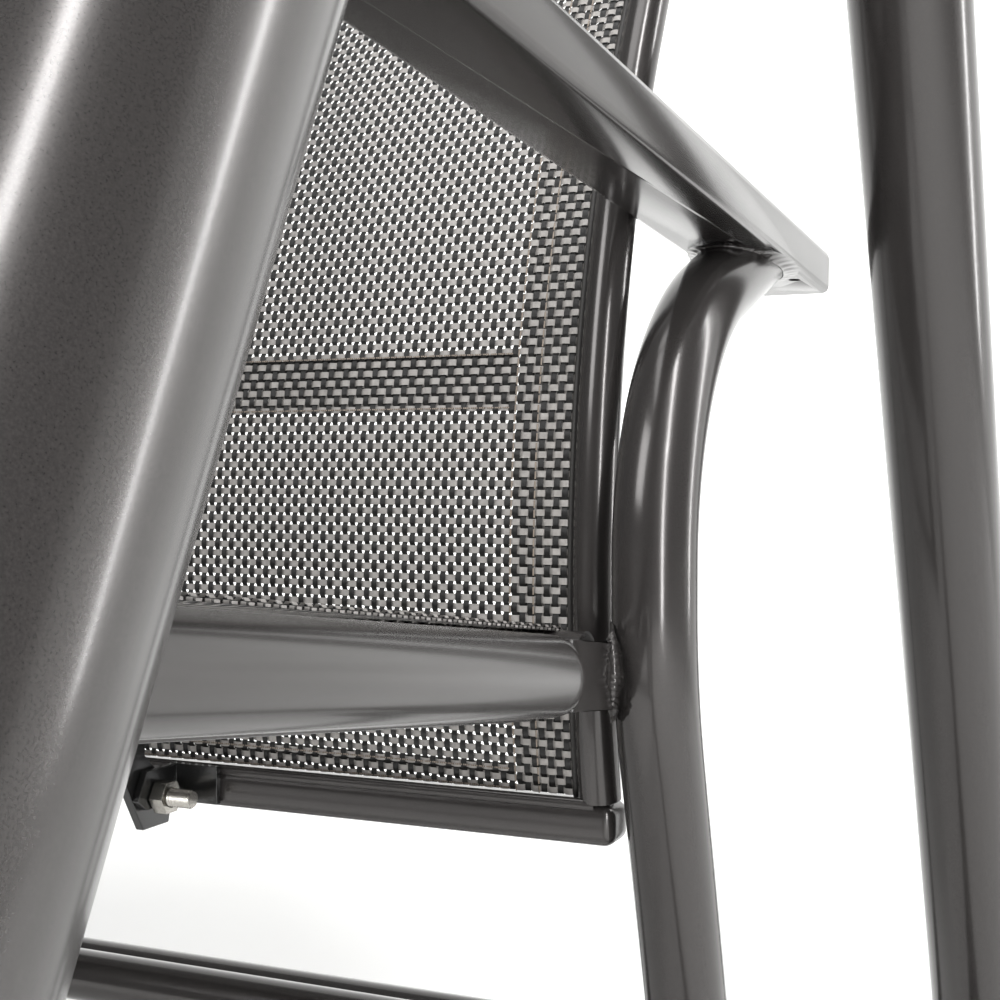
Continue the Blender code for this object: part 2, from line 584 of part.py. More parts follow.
def build_bench():
    """Both side frames, the cross tubes, the sling frames and the slings."""
    for side, sign in SIDES.items():
        x = sign * SIDE_PLANE
        build_arm(side, x)
        front_line, rear_line = build_posts(side, x)
        front, rear = build_stretcher(side, x, front_line, rear_line)
        build_hangers(side, x)
        build_seat_frame(side, sign, front, rear)
        build_back_frame(side, sign)
        build_support(side, sign)
    inner = SIDE_PLANE - POST_RADIUS - GAP
    for name, line in (("lower_front_tube", front_line), ("lower_rear_tube", rear_line)):
        y, z = line[0][1], LOWER_TUBE_HEIGHT + LOWER_TUBE_RADIUS + LOWER_TUBE_RISE
        tube(name, [(-inner, y, z), (inner, y, z)], LOWER_TUBE_RADIUS)
    end = RAIL_PLACE + RAIL_RADIUS - GAP
    bars = (("seat_front_bar", SEAT_FRONT, seat_height(SEAT_FRONT), BAR_RADIUS),
            ("seat_rear_bar", SEAT_REAR, seat_height(SEAT_REAR), BAR_RADIUS),
            ("back_top_bar", BACK_TOP_PLACE, BACK_TOP, TOP_BAR_RADIUS))
    for name, y, z, radius in bars:
        tube(name, [(-end, y, z), (end, y, z)], radius)
    bar_z = END_BAR_TOP - END_BAR_HEIGHT / 2
    bar_y = back_line(0, bar_z, BACK_TOP)[0][1]
    block("back_end_bar", POWDER_COAT, (2 * end, END_BAR_DEPTH, END_BAR_HEIGHT),
          (0, bar_y, bar_z), round_edge=END_BAR_ROUND)
    reach = BAR_RADIUS + GAP
    seat = [(0, y, seat_height(y)) for y in (SEAT_FRONT + reach, SEAT_REAR - reach)]
    sling("seat_sling", seat, MESH_CLOTH)
    top = BACK_TOP - TOP_BAR_RADIUS * cos(radians(BACK_LEAN)) - TRIM
    sling("back_sling", back_line(0, END_BAR_TOP + 0.001, top), MESH_CLOTH)


build_stand()
build_bench()
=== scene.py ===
"""Looks of the free-standing porch swing: coated steel tube, woven slings, welds and fittings."""
import logging
from dataclasses import dataclass, field
from enum import Enum
from math import atan, cos, pi, radians, sin, tan

import bmesh
import bpy
import numpy as np
from mathutils import Matrix, Vector


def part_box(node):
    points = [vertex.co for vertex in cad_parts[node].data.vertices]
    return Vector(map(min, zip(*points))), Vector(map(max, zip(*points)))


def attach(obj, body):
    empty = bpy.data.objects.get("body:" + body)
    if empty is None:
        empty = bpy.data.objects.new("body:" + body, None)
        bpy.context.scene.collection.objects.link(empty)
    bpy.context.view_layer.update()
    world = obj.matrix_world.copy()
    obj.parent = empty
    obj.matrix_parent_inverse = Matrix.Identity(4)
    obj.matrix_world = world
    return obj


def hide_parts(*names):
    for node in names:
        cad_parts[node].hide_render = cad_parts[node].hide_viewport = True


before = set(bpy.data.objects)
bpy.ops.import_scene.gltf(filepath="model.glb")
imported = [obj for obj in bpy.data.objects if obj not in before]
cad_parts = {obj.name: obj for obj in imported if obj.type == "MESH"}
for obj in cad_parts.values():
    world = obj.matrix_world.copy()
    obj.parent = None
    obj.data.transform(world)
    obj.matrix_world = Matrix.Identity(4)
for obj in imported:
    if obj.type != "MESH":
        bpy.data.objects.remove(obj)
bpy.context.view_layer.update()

LOG = logging.getLogger("porch_swing")
MM = 0.001
FIT_GAP = 0.3 * MM             # clearance between neighbouring pieces
Point = tuple[float, float, float]


class Body(Enum):
    """The rigid bodies of the swing."""

    STAND = "stand"
    BENCH = "bench"


class Side(Enum):
    """The two sides, with the sign of X."""

    RIGHT = 1
    LEFT = -1

    @property
    def word(self) -> str:
        """The side's name in lower case, as the nodes use it."""
        return self.name.lower()


# ---- finishes ----------------------------------------------------------------------------
def linear(code: str) -> tuple[float, float, float, float]:
    """Turn an sRGB hex colour into linear RGBA."""
    parts = [int(code[i:i + 2], 16) / 255 for i in (1, 3, 5)]
    return (*[p / 12.92 if p <= 0.04045 else ((p + 0.055) / 1.055) ** 2.4 for p in parts], 1.0)


def add_node(tree: bpy.types.NodeTree, kind: str, settings: dict | None = None,
             **links: object) -> bpy.types.Node:
    """Add a node with its settings, and set or link its inputs.

    Args:
        tree: The material's node tree.
        kind: The node's type, such as ShaderNodeTexNoise.
        settings: Attributes of the node itself.
        **links: Input name (underscores for spaces, or in_0 for a number) to value or socket.

    Returns:
        The new node.
    """
    node = tree.nodes.new(kind)
    for key, value in (settings or {}).items():
        setattr(node, key, value)
    for key, value in links.items():
        slot = node.inputs[int(key[3:])] if key.startswith("in_") else \
            node.inputs[key.replace("_", " ")]
        if isinstance(value, bpy.types.NodeSocket):
            tree.links.new(value, slot)
        else:
            slot.default_value = value
    return node


def start_material(name: str) -> tuple[bpy.types.Material, bpy.types.NodeTree, bpy.types.Node]:
    """Make an empty node material with its Principled shader.

    Args:
        name: The finish's name.

    Returns:
        The material, its tree and the shader node.
    """
    made = bpy.data.materials.new(name)
    made.use_nodes = True
    return made, made.node_tree, made.node_tree.nodes["Principled BSDF"]


def blend_colours(tree: bpy.types.NodeTree, share: bpy.types.NodeSocket, first: str,
                  second: str) -> bpy.types.NodeSocket:
    """Mix two colours by a 0 to 1 socket.

    Args:
        tree: The material's node tree.
        share: Socket from 0, all first, to 1, all second.
        first: Hex colour.
        second: Hex colour.

    Returns:
        The mixed colour's socket.
    """
    ramp = add_node(tree, "ShaderNodeValToRGB", None, Fac=share)
    ramp.color_ramp.elements[0].color = linear(first)
    ramp.color_ramp.elements[1].color = linear(second)
    return ramp.outputs["Color"]


@dataclass(frozen=True)
class PowderCoat:
    """Metallic powder coat, sprayed and baked: a smooth film with flakes and soft orange peel."""

    name: str
    low: str
    high: str
    roughness: float
    metallic: float
    coat: float
    flake_mm: float = 0.32
    peel_mm: float = 3.2
    peel_depth_mm: float = 0.012

    def build(self) -> bpy.types.Material:
        """Make the material."""
        made, tree, shader = start_material(self.name)
        place = add_node(tree, "ShaderNodeTexCoord").outputs["Object"]
        flake = add_node(tree, "ShaderNodeTexNoise", None, Vector=place,
                         Scale=1 / (self.flake_mm * MM), Detail=2.0, Roughness=0.6)
        cloud = add_node(tree, "ShaderNodeTexNoise", None, Vector=place, Scale=9.0, Detail=3.0)
        speck = add_node(tree, "ShaderNodeMapRange", None, Value=flake.outputs["Fac"],
                         From_Min=0.30, From_Max=0.72, To_Min=0.0, To_Max=1.0)
        tree.links.new(blend_colours(tree, speck.outputs["Result"], self.low, self.high),
                       shader.inputs["Base Color"])
        rough = add_node(tree, "ShaderNodeMapRange", None, Value=cloud.outputs["Fac"],
                         From_Min=0.3, From_Max=0.7, To_Min=self.roughness - 0.03,
                         To_Max=self.roughness + 0.05)
        tree.links.new(rough.outputs["Result"], shader.inputs["Roughness"])
        peel = add_node(tree, "ShaderNodeTexNoise", None, Vector=place,
                        Scale=1 / (self.peel_mm * MM), Detail=1.0)
        bump = add_node(tree, "ShaderNodeBump", None, Height=peel.outputs["Fac"], Strength=0.35,
                        Distance=self.peel_depth_mm * MM)
        tree.links.new(bump.outputs["Normal"], shader.inputs["Normal"])
        shader.inputs["Metallic"].default_value = self.metallic
        shader.inputs["Coat Weight"].default_value = self.coat
        shader.inputs["Coat Roughness"].default_value = 0.12
        return made


@dataclass(frozen=True)
class PlatedSteel:
    """Bright zinc plate on turned and rolled steel: fine grain and a faint cloudiness."""

    name: str = "bright zinc plated steel"
    low: str = "#8F8C86"
    high: str = "#D2CFC8"

    def build(self) -> bpy.types.Material:
        """Make the material."""
        made, tree, shader = start_material(self.name)
        place = add_node(tree, "ShaderNodeTexCoord").outputs["Object"]
        grain = add_node(tree, "ShaderNodeTexNoise", None, Vector=place, Scale=900.0, Detail=3.0)
        tree.links.new(blend_colours(tree, grain.outputs["Fac"], self.low, self.high),
                       shader.inputs["Base Color"])
        bump = add_node(tree, "ShaderNodeBump", None, Height=grain.outputs["Fac"], Strength=0.2,
                        Distance=0.02 * MM)
        tree.links.new(bump.outputs["Normal"], shader.inputs["Normal"])
        shader.inputs["Metallic"].default_value = 1.0
        shader.inputs["Roughness"].default_value = 0.24
        return made


@dataclass(frozen=True)
class MouldedPlastic:
    """Moulded polypropylene or vinyl with a spark-eroded grain."""

    name: str
    low: str
    high: str
    grain_mm: float
    roughness: float = 0.5

    def build(self) -> bpy.types.Material:
        """Make the material."""
        made, tree, shader = start_material(self.name)
        place = add_node(tree, "ShaderNodeTexCoord").outputs["Object"]
        grain = add_node(tree, "ShaderNodeTexNoise", None, Vector=place,
                         Scale=1 / (self.grain_mm * MM), Detail=2.0)
        tree.links.new(blend_colours(tree, grain.outputs["Fac"], self.low, self.high),
                       shader.inputs["Base Color"])
        bump = add_node(tree, "ShaderNodeBump", None, Height=grain.outputs["Fac"], Strength=0.5,
                        Distance=0.08 * MM)
        tree.links.new(bump.outputs["Normal"], shader.inputs["Normal"])
        shader.inputs["Roughness"].default_value = self.roughness
        return made


@dataclass(frozen=True)
class CoatedYarn:
    """Vinyl-coated polyester filaments laid side by side in a flat band."""

    name: str
    low: str
    high: str
    filaments: int
    roughness: float

    def build(self) -> bpy.types.Material:
        """Make the material: ridges across the band, with painted shade in the grooves between
        filaments and a painted highlight on their tops, and a slow random change of tone.
        """
        made, tree, shader = start_material(self.name)
        band = add_node(tree, "ShaderNodeUVMap", {"uv_map": "yarn"}).outputs["UV"]
        across = add_node(tree, "ShaderNodeSeparateXYZ", None, Vector=band).outputs["X"]
        wave = add_node(tree, "ShaderNodeMath", {"operation": "MULTIPLY"}, in_0=across,
                        in_1=self.filaments * 2 * pi)
        ridge = add_node(tree, "ShaderNodeMath", {"operation": "COSINE"},
                         in_0=wave.outputs["Value"])
        height = add_node(tree, "ShaderNodeMapRange", None, Value=ridge.outputs["Value"],
                          From_Min=1.0, From_Max=-1.0, To_Min=0.0, To_Max=1.0)
        place = add_node(tree, "ShaderNodeTexCoord").outputs["Object"]
        shade = add_node(tree, "ShaderNodeTexNoise", None, Vector=place, Scale=420.0, Detail=2.0)
        # Painted shade and highlight: the ridge height darkens the colour in the grooves between
        # filaments and lightens it on their tops; the noise above adds a random change of tone.
        mixed = add_node(tree, "ShaderNodeMath", {"operation": "MULTIPLY_ADD"},
                         in_0=height.outputs["Result"], in_1=0.65, in_2=0.0)
        tone_and_groove_shade = add_node(tree, "ShaderNodeMath", {"operation": "MULTIPLY_ADD"},
                         in_0=shade.outputs["Fac"], in_1=0.45, in_2=mixed.outputs["Value"])
        tree.links.new(blend_colours(tree, tone_and_groove_shade.outputs["Value"], self.low, self.high),
                       shader.inputs["Base Color"])
        bump = add_node(tree, "ShaderNodeBump", None, Height=height.outputs["Result"],
                        Strength=0.6, Distance=0.12 * MM)
        tree.links.new(bump.outputs["Normal"], shader.inputs["Normal"])
        shader.inputs["Roughness"].default_value = self.roughness
        return made


# Anthracite metallic coat: warm grey with dark glossy reflections.
FRAME_COAT = PowderCoat("anthracite metallic powder coat", "#353332", "#444140", 0.21, 0.50, 0.28)
# Plain black coat on small folded parts.
BLACK_COAT = PowderCoat("gloss black powder coat", "#0E0E0E", "#1B1B1B", 0.22, 0.1, 0.5)
ZINC = PlatedSteel()
CAP_PLASTIC = MouldedPlastic("black moulded polypropylene", "#141414", "#262524", 0.7)
SPLINE_VINYL = MouldedPlastic("extruded black vinyl spline", "#1A1918", "#3A3836", 0.9, 0.6)
# Yarn and thread colours run from the painted shade in the grooves between filaments (low) to the
# painted highlight on their tops (high), shifted by a random change of tone.
WEFT_YARN = CoatedYarn("warm grey vinyl-coated weft yarn", "#55524F", "#BAB6B2", 6, 0.38)
WARP_YARN = CoatedYarn("black vinyl-coated warp yarn", "#030303", "#191817", 4, 0.42)
SEAM_THREAD = CoatedYarn("bonded beige-brown seam thread", "#4E463F", "#9A8E82", 2, 0.6)


class Palette:
    """Builds each finish once and hands it out."""

    def __init__(self) -> None:
        """Start empty."""
        self.made: dict[str, bpy.types.Material] = {}

    def get(self, finish: object) -> bpy.types.Material:
        """Return a finish's material, built on first use."""
        if finish.name not in self.made:
            self.made[finish.name] = finish.build()
        return self.made[finish.name]


PALETTE = Palette()


# ---- shapes ------------------------------------------------------------------------------
def put(name: str, data: bpy.types.ID) -> bpy.types.Object:
    """Make an object of a mesh, camera or light and link it to the scene."""
    made = bpy.data.objects.new(name, data)
    bpy.context.scene.collection.objects.link(made)
    return made


def as_mesh(name: str, shape: bmesh.types.BMesh) -> bpy.types.Mesh:
    """Turn a bmesh into a mesh and free it."""
    mesh = bpy.data.meshes.new(name)
    shape.to_mesh(mesh)
    shape.free()
    return mesh


def round_line(middle: Vector, first: Vector, second: Vector, count: int = 49) -> list[Vector]:
    """Points of an ellipse with these half axes, its last point on its first."""
    return [middle + first * cos(a) + second * sin(a) for a in np.linspace(0, 2 * pi, count)]


def finish_piece(name: str, shape: bmesh.types.BMesh, finish: object, body: Body,
                 replaces: tuple[str, ...] = (), sharp: float = 38.0) -> bpy.types.Object:
    """Turn a bmesh into a dressed piece that rides on a body.

    Args:
        name: The piece's name.
        shape: The finished bmesh, in place; it is freed.
        finish: The finish that dresses it.
        body: The body that it moves with.
        replaces: CAD nodes that it stands for.
        sharp: Edges over this angle in degrees stay sharp.

    Returns:
        The new object.
    """
    bmesh.ops.recalc_face_normals(shape, faces=shape.faces)
    mesh = as_mesh(name, shape)
    mesh.shade_smooth()
    mesh.set_sharp_from_angle(angle=radians(sharp))
    mesh.materials.append(PALETTE.get(finish))
    piece = put(name, mesh)
    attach(piece, body.value)
    if replaces:
        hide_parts(*replaces)
    LOG.info("%s: %d faces", name, len(mesh.polygons))
    return piece


def coated(name: str, shape: bmesh.types.BMesh, body: Body, replaces: tuple[str, ...] = (),
           sharp: float = 38.0) -> bpy.types.Object:
    """Finish a piece in the frame's own coat; the arguments are finish_piece's."""
    return finish_piece(name, shape, FRAME_COAT, body, replaces, sharp)


def bent_line(corners: list[Point], radii: list[float], step: float = 3.0) -> list[Vector]:
    """Join corner points by straight runs, each inner corner rounded by its own radius.

    Args:
        corners: The line's corners.
        radii: A radius for each inner corner.
        step: Degrees between points along a bend.

    Returns:
        The line's points.
    """
    line = [Vector(corners[0])]
    for before, here, after, radius in zip(corners, corners[1:], corners[2:], radii):
        corner = Vector(here)
        back = (Vector(before) - corner).normalized()
        ahead = (Vector(after) - corner).normalized()
        half = back.angle(ahead) / 2
        middle = corner + (back + ahead).normalized() * radius / sin(half)
        start = corner + back * radius / tan(half) - middle
        axis = start.cross(corner - middle).normalized()
        turn = pi - 2 * half
        count = max(2, round(turn / radians(step)))
        line += [middle + Matrix.Rotation(turn * i / count, 3, axis) @ start
                 for i in range(count + 1)]
    return line + [Vector(corners[-1])]


def sweep(line: list[Vector], radius: float, sides: int = 40,
          into: bmesh.types.BMesh | None = None) -> bmesh.types.BMesh:
    """Run a circle along a line, with closed ends.

    Args:
        line: Points of the middle line.
        radius: Radius of the tube.
        sides: Faces around it.
        into: A bmesh to add to, or None for a new one.

    Returns:
        The bmesh.
    """
    shape = into or bmesh.new()
    points = [Vector(p) for p in line]
    heading = (points[1] - points[0]).normalized()
    turn = heading.to_track_quat("Z", "X").to_matrix().to_4x4()
    ring = bmesh.ops.create_circle(shape, cap_ends=True, segments=sides, radius=radius,
                                   matrix=Matrix.Translation(points[0]) @ turn)["verts"]
    edges = [e for e in {e for v in ring for e in v.link_edges}
             if e.verts[0] in ring and e.verts[1] in ring]
    for i in range(1, len(points)):
        here, last = points[i], points[i - 1]
        ahead = points[min(i + 1, len(points) - 1)]
        aim = (here - last).normalized() + ((ahead - here).normalized() if ahead != here
                                            else (here - last).normalized())
        aim.normalize()
        made = bmesh.ops.extrude_edge_only(shape, edges=edges)["geom"]
        edges = [g for g in made if isinstance(g, bmesh.types.BMEdge)]
        verts = [g for g in made if isinstance(g, bmesh.types.BMVert)]
        step = heading.rotation_difference(aim).to_matrix().to_4x4()
        bmesh.ops.transform(shape, verts=verts, matrix=Matrix.Translation(here) @ step
                            @ Matrix.Translation(-last))
        heading = aim
    bmesh.ops.contextual_create(shape, geom=edges)
    return shape


def cut_above(shape: bmesh.types.BMesh, place: Vector, normal: Vector) -> None:
    """Cut away what lies beyond a plane and close the cut."""
    geom = shape.verts[:] + shape.edges[:] + shape.faces[:]
    bmesh.ops.bisect_plane(shape, geom=geom, plane_co=place, plane_no=normal, clear_outer=True)
    rim = [e for e in shape.edges if e.is_boundary]
    bmesh.ops.contextual_create(shape, geom=rim)


def polish(node: str, finish: object, body: Body, edge_mm: float = 0.5) -> None:
    """Copy a CAD node's mesh, merge it and round its edges a little.

    Args:
        node: The CAD node, which the copy then stands for.
        finish: The finish that dresses it.
        body: The body that it moves with.
        edge_mm: Width of the rounded edges; 0 leaves them.
    """
    shape = bmesh.new()
    shape.from_mesh(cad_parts[node].data)
    bmesh.ops.remove_doubles(shape, verts=shape.verts, dist=0.02 * MM)
    bmesh.ops.dissolve_limit(shape, angle_limit=radians(1), verts=shape.verts,
                             edges=shape.edges)
    piece = finish_piece(f"{node}_finish", shape, finish, body, (node,))
    if edge_mm:
        bevel = piece.modifiers.new("Rounded edges", "BEVEL")
        bevel.width = edge_mm * MM
        bevel.segments = 2
        bevel.angle_limit = radians(50)


def bead(line: list[Vector], radius: float, lump: float, seed: float) -> bmesh.types.BMesh:
    """A weld bead: a thin sweep whose surface rises and falls along it.

    Args:
        line: Points of the bead's middle line.
        radius: Mean radius of the bead.
        lump: Height of its ripples as a share of the radius.
        seed: Shifts the ripples, so that no two welds match.

    Returns:
        The bmesh.
    """
    shape = sweep(line, radius, 10)
    for i, vert in enumerate(shape.verts):
        near = min(line, key=lambda p: (p - vert.co).length_squared)
        wave = sin(i * 0.37 + seed) * 0.5 + sin(i * 0.091 + 2.3 * seed) * 0.5
        vert.co += (vert.co - near) * lump * wave
    return shape


def fillet_weld(name: str, ring: list[tuple[Vector, Vector, Vector]], reach: float,
                body: Body, seed: float) -> bpy.types.Object:
    """Run a hollow weld between two surfaces round a closed line where they meet.

    Args:
        name: The piece's name.
        ring: For each point of the line, the point and the directions along each surface.
        reach: How far the weld runs up each surface.
        body: The body that it rides on.
        seed: Offset of its unevenness.

    Returns:
        The weld.
    """
    shape = bmesh.new()
    steps, rows = 7, []
    count = len(ring)
    for i, (point, first, second) in enumerate(ring):
        turn = 2 * pi * i / count
        uneven = 1 + 0.14 * sin(3 * turn + seed) + 0.09 * sin(7 * turn + 2 * seed) \
            + 0.05 * sin(23 * turn + 5 * seed)
        row = []
        for k in range(steps + 1):
            part = pi / 2 * k / steps
            away = (1 - sin(part)) * first + (1 - cos(part)) * second
            swell = 0.05 * reach * sin(2 * part) * (1 + sin(31 * turn + seed))
            row.append(shape.verts.new(point + away * reach * uneven
                                       + (first + second) * (swell + 0.15 * MM)))
        rows.append(row)
    for row, after in zip(rows, rows[1:] + rows[:1]):
        for k in range(steps):
            shape.faces.new((row[k], row[k + 1], after[k + 1], after[k]))
    return coated(name, shape, body, sharp=180)


# ---- stand -------------------------------------------------------------------------------
@dataclass
class Stand:
    """Four bent legs, the beam, the braces, caps and pivot brackets."""

    leg_plane: float = 0.694
    half_depth: float = 0.557
    leg_radius: float = 0.025
    lean: float = 26.5
    bend_height: float = 0.820
    top_spread: float = 0.036
    beam_height: float = 1.466
    fitting_height: float = 0.050
    foot_lift: float = 0.016
    neck: float = 0.12
    bend_radius: float = 0.25
    body: Body = Body.STAND

    def build(self) -> None:
        """Build and dress every piece of the stand."""
        for side in Side:
            for end, sign in (("front", -1), ("rear", 1)):
                self.leg(side, end, sign)
                polish(f"foot_cap_{end}_{side.word}", CAP_PLASTIC, self.body, 1.5)
            polish(f"corner_fitting_{side.word}", FRAME_COAT, self.body, 0)
            polish(f"pivot_bracket_{side.word}", FRAME_COAT, self.body, 0)
            polish(f"pivot_bolt_{side.word}", ZINC, self.body, 0.6)
            polish(f"pivot_nut_{side.word}", ZINC, self.body, 0.6)
            self.straight(f"side_brace_{side.word}", 1)
            self.beam_weld(side)
        self.straight("rear_brace", 0)
        self.straight("top_beam", 0)

    def leg(self, side: Side, end: str, sign: int) -> None:
        """Build one leg along its two bends, with a weld ring at its top."""
        x = side.value * self.leg_plane
        reach = (self.bend_height - self.foot_lift) * tan(radians(self.lean))
        top = self.beam_height - self.fitting_height / 2 - FIT_GAP
        corners = [(x, sign * self.half_depth, self.foot_lift),
                   (x, sign * (self.half_depth - reach), self.bend_height),
                   (x, sign * self.top_spread, top - self.neck), (x, sign * self.top_spread, top)]
        line = bent_line(corners, [self.bend_radius] * 2)
        name = f"stand_leg_{end}_{side.word}"
        coated(f"{name}_tube", sweep(line, self.leg_radius, 56), self.body, (name,))
        ring = round_line(Vector((x, sign * self.top_spread, top - 1.0 * MM)),
                          Vector((self.leg_radius, 0, 0)), Vector((0, self.leg_radius, 0)))
        coated(f"{name}_weld", bead(ring, 2.4 * MM, 0.18, x + sign), self.body, sharp=180)

    def straight(self, node: str, along: int) -> None:
        """Build a straight tube in a CAD tube's place; along is the index of its long axis."""
        low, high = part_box(node)
        middle = (low + high) / 2
        radius = (high.z - low.z) / 2
        first, last = middle.copy(), middle.copy()
        first[along], last[along] = low[along], high[along]
        coated(f"{node}_tube", sweep([first, last], radius, 48), self.body, (node,))

    def beam_weld(self, side: Side) -> None:
        """Weld ring where the beam meets its corner fitting."""
        low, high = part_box("top_beam")
        radius, x = (high.z - low.z) / 2, side.value * high.x
        ring = round_line(Vector((x - side.value * 1.2 * MM, 0, self.beam_height)),
                          Vector((0, radius, 0)), Vector((0, 0, radius)))
        coated(f"beam_weld_{side.word}", bead(ring, 2.6 * MM, 0.2, x), self.body, sharp=180)


# ---- bench frame -------------------------------------------------------------------------
@dataclass
class BenchFrame:
    """Side frames, cross tubes, hangers and the back's fixings."""

    side_plane: float = 0.620
    post_radius: float = 0.016
    post_front: float = 0.119
    post_bend: float = 0.115
    bend_angle: float = 70.0
    knee_height: float = 0.4636
    sweep_angle: float = 17.0
    knee_run: float = 0.045
    lower_bend: float = 0.20
    tip_run: float = 0.13      # past the upper bend, trimmed by the armrest
    lower_height: float = 0.236
    front_place: float = -0.260
    bow_ends: float = 0.020
    bow_middle: float = 0.015
    bow_height: float = 0.45
    bow_radius: float = 0.30
    arm_rear: float = 0.323
    arm_rear_height: float = 0.5823
    arm_slope: float = 4.5
    arm_thickness: float = 0.020
    stretcher_radius: float = 0.0135
    stretcher_inset: float = 0.008
    stretcher_slope: float = 7.3
    stretcher_rear: float = 0.421
    press_length: float = 0.040
    press_reach: float = 0.084
    front_press: float = 0.034
    press_walls: tuple[float, float] = (-0.0078, -0.0035)
    pivot_height: float = 1.420
    hanger_radius: float = 0.0095
    # Each hanger's end, its foot's Y and how far from the pivot it stops.
    hanger_ends: tuple[tuple[str, float, float], ...] = (("front", -0.205, 0.150),
                                                         ("rear", -0.035, 0.0136))
    eye_size: tuple[float, float, float] = (0.020, 0.017, 0.0088)
    body: Body = Body.BENCH

    def arm_underside(self, y: float) -> float:
        """Height of the armrest's underside."""
        return self.arm_rear_height + (self.arm_rear - y) * tan(radians(self.arm_slope))

    def stretcher_height(self, y: float) -> float:
        """Height of the stretcher's middle."""
        return self.stretcher_rear + (self.post_front - y) * tan(radians(self.stretcher_slope))

    def build(self) -> None:
        """Build and dress every piece of the bench's frame."""
        for side in Side:
            x = side.value * self.side_plane
            self.rear_post(side, x)
            self.front_post(side, x)
            self.stretcher(side, x)
            self.hangers(side, x)
            self.plain_nodes(side)
        for node in ("lower_front_tube", "lower_rear_tube", "seat_front_bar", "seat_rear_bar",
                     "back_top_bar"):
            self.cross_tube(node)

    def plain_nodes(self, side: Side) -> None:
        """Dress the pieces whose CAD shape stays."""
        for node, edge in (("armrest", 0), ("seat_tab", 0.8), ("back_tab", 0.8)):
            polish(f"{node}_{side.word}", FRAME_COAT, self.body, edge)
        for node in ("back_support", "back_bracket"):
            polish(f"{node}_{side.word}", BLACK_COAT, self.body, 0.6)
        for node in ("pivot_bush_outer", "pivot_bush_inner"):
            polish(f"{node}_{side.word}", CAP_PLASTIC, self.body, 0)
        polish(f"clamp_nut_{side.word}", ZINC, self.body, 0.5)

    def trim(self, shape: bmesh.types.BMesh, x: float) -> None:
        """Cut a post off just under the armrest."""
        slope = radians(self.arm_slope)
        cut_above(shape, Vector((x, 0, self.arm_underside(0) - FIT_GAP)),
                  Vector((0, sin(slope), cos(slope))))

    def rear_post(self, side: Side, x: float) -> None:
        """Build the curved rear post, cut to the armrest, with its weld."""
        angle = radians(self.bend_angle)
        drop = self.knee_height - self.knee_run - self.lower_height
        foot_y = self.post_front + drop * tan(radians(self.sweep_angle))
        bend = [Vector((x, self.post_front + self.post_bend * (1 - cos(angle * i / 28)),
                        self.knee_height + self.post_bend * sin(angle * i / 28)))
                for i in range(29)]
        tip = bend[-1] + Vector((0, sin(angle), cos(angle))) * self.tip_run
        knee = (x, self.post_front, self.knee_height - self.knee_run)
        lower = bent_line([(x, foot_y, self.lower_height), knee, tuple(bend[0])],
                          [self.lower_bend])
        shape = sweep(lower + bend[1:] + [tip], self.post_radius, 56)
        self.trim(shape, x)
        coated(f"rear_post_tube_{side.word}", shape, self.body, (f"rear_post_{side.word}",))
        self.post_weld(side, x, bend[-1], angle)

    def post_weld(self, side: Side, x: float, top: Vector, angle: float) -> None:
        """A broad smooth weld where the rear post runs into the armrest's underside."""
        slope = radians(self.arm_slope)
        lean = pi / 2 - angle + slope
        rise = self.arm_underside(top.y) - top.z
        middle_y = top.y + rise * cos(slope) / sin(lean) * sin(angle)
        long, wide = self.post_radius / sin(lean), self.post_radius
        down = Vector((0, -sin(angle), -cos(angle)))
        level = Vector((0, cos(slope), -sin(slope)))
        middle = Vector((x, middle_y, self.arm_underside(middle_y) - 0.4 * MM))
        ring = []
        for a in np.linspace(0, 2 * pi, 96, endpoint=False):
            out = (Vector((long * cos(a), 0, 0)) + level * wide * sin(a)).normalized()
            place = middle + Vector((wide * cos(a), 0, 0)) + level * long * sin(a)
            ring.append((place, down, out))
        fillet_weld(f"armrest_weld_{side.word}", ring, 5.5 * MM, self.body, x * 3.1)

    def front_post(self, side: Side, x: float) -> None:
        """Build the gently bowed front post, cut to the armrest."""
        y = self.front_place
        end_y, top = y - self.bow_ends, self.arm_underside(y) + 2 * self.bow_middle
        line = bent_line([(x, end_y, self.lower_height), (x, y + self.bow_middle, self.bow_height),
                          (x, end_y, top)], [self.bow_radius])
        shape = sweep(line, self.post_radius, 56)
        self.trim(shape, x)
        coated(f"front_post_tube_{side.word}", shape, self.body, (f"front_post_{side.word}",))
        slope = radians(self.arm_slope)
        level = Vector((0, cos(slope), -sin(slope)))
        run = Vector(line[-1]) - Vector(line[-2])
        down = -run.normalized()
        part = (self.arm_underside(line[-1].y) - line[-1].z) / run.z
        middle = line[-1] + run * part
        middle.z = self.arm_underside(middle.y) - 0.4 * MM
        ring = []
        for a in np.linspace(0, 2 * pi, 72, endpoint=False):
            out = Vector((cos(a), 0, 0)) + level * sin(a)
            ring.append((middle + out * self.post_radius, down, out))
        fillet_weld(f"front_post_weld_{side.word}", ring, 4.0 * MM, self.body, x)

